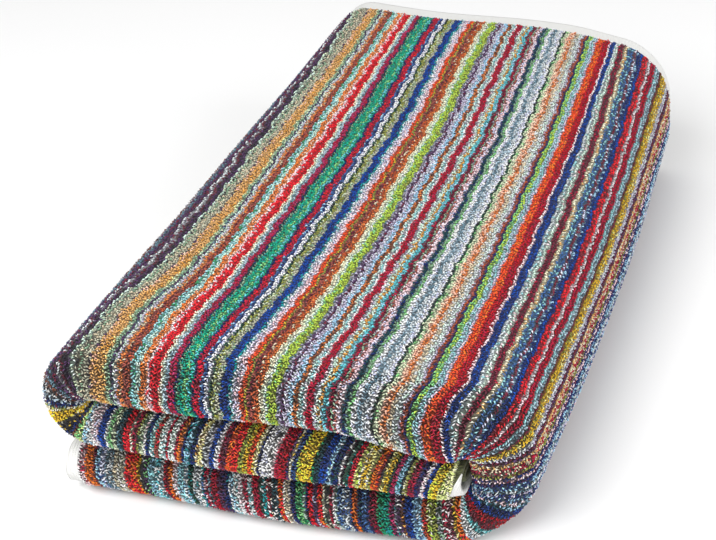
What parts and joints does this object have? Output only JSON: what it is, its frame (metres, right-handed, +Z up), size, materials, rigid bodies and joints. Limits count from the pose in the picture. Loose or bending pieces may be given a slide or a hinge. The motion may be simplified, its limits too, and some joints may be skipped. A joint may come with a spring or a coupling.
{
  "type": "folded sauna towel",
  "caption": "Striped terry sauna towel folded into a thick flat packet, with round folds at the front and both sides, a free side edge inside one fold and white hems at the back.",
  "frame": {"origin": "centre of the underside of the packet's bounding box, on the surface it rests on", "axes": "+X across the stripes, from the left fold to the right fold; +Y along the stripes, from the round front noses to the hems; +Z up"},
  "size_m": [0.253, 0.4554, 0.089],
  "materials": {
    "striped_terry": "cotton loop pile, matt, in many uneven stripes, with white flat-woven hems and selvedges"
  },
  "bodies": {
    "root": {"towel": "striped_terry"}
  },
  "joints": []
}
